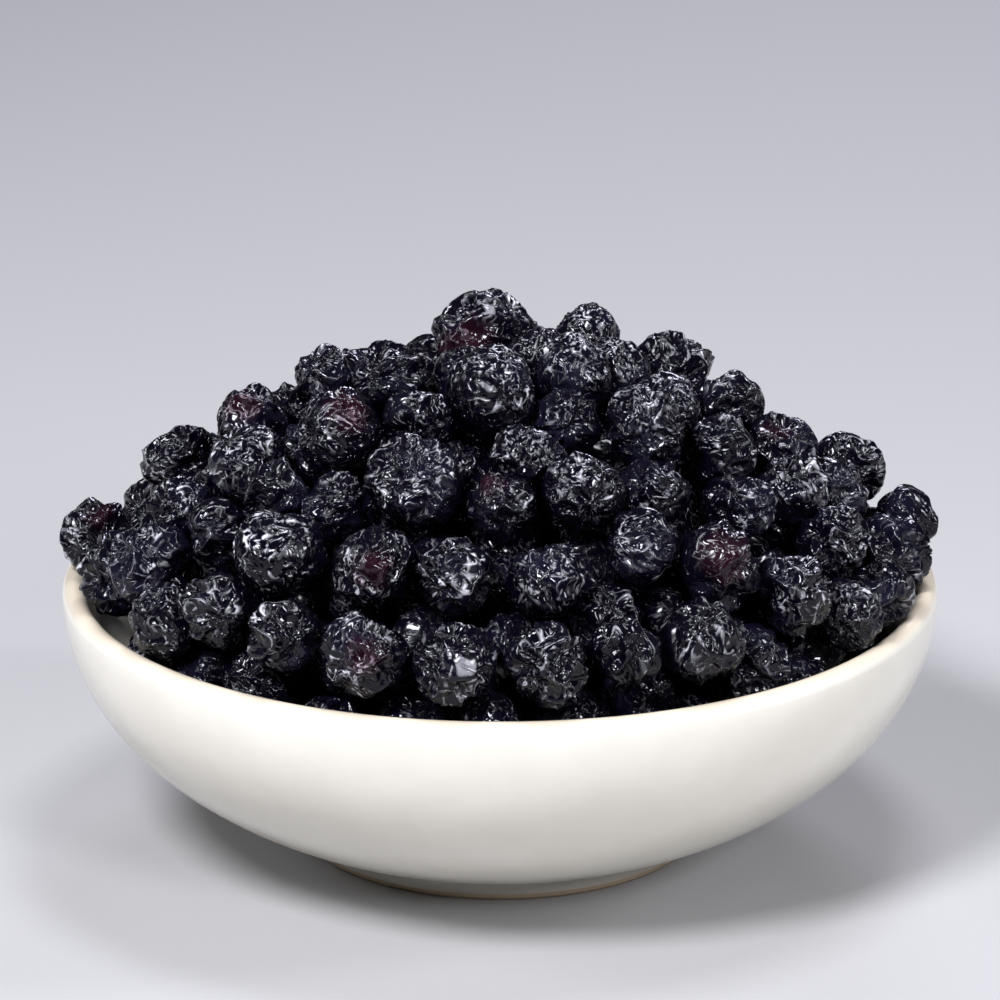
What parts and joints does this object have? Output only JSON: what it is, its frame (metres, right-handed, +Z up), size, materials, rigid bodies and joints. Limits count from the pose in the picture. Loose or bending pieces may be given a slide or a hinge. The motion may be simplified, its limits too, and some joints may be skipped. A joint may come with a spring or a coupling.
{
  "type": "bowl of dried sour cherries",
  "caption": "Low round glazed bowl on a foot ring, heaped with whole dried sour cherries, near-black, wrinkled and glossy.",
  "frame": {"origin": "centre of the foot ring's underside, on the surface that the bowl stands on", "axes": "+Z up along the bowl's axis, and the side that the picture shows faces -Y"},
  "size_m": [0.1352, 0.135, 0.0859],
  "materials": {
    "glaze": "smooth off-white glaze",
    "cherry_skin": "finely wrinkled dried fruit skin, near-black purple with wine-red patches, sticky gloss and a thin blue-grey bloom"
  },
  "bodies": {
    "root": {"bowl": "glaze", "cherries": "cherry_skin"}
  },
  "joints": []
}
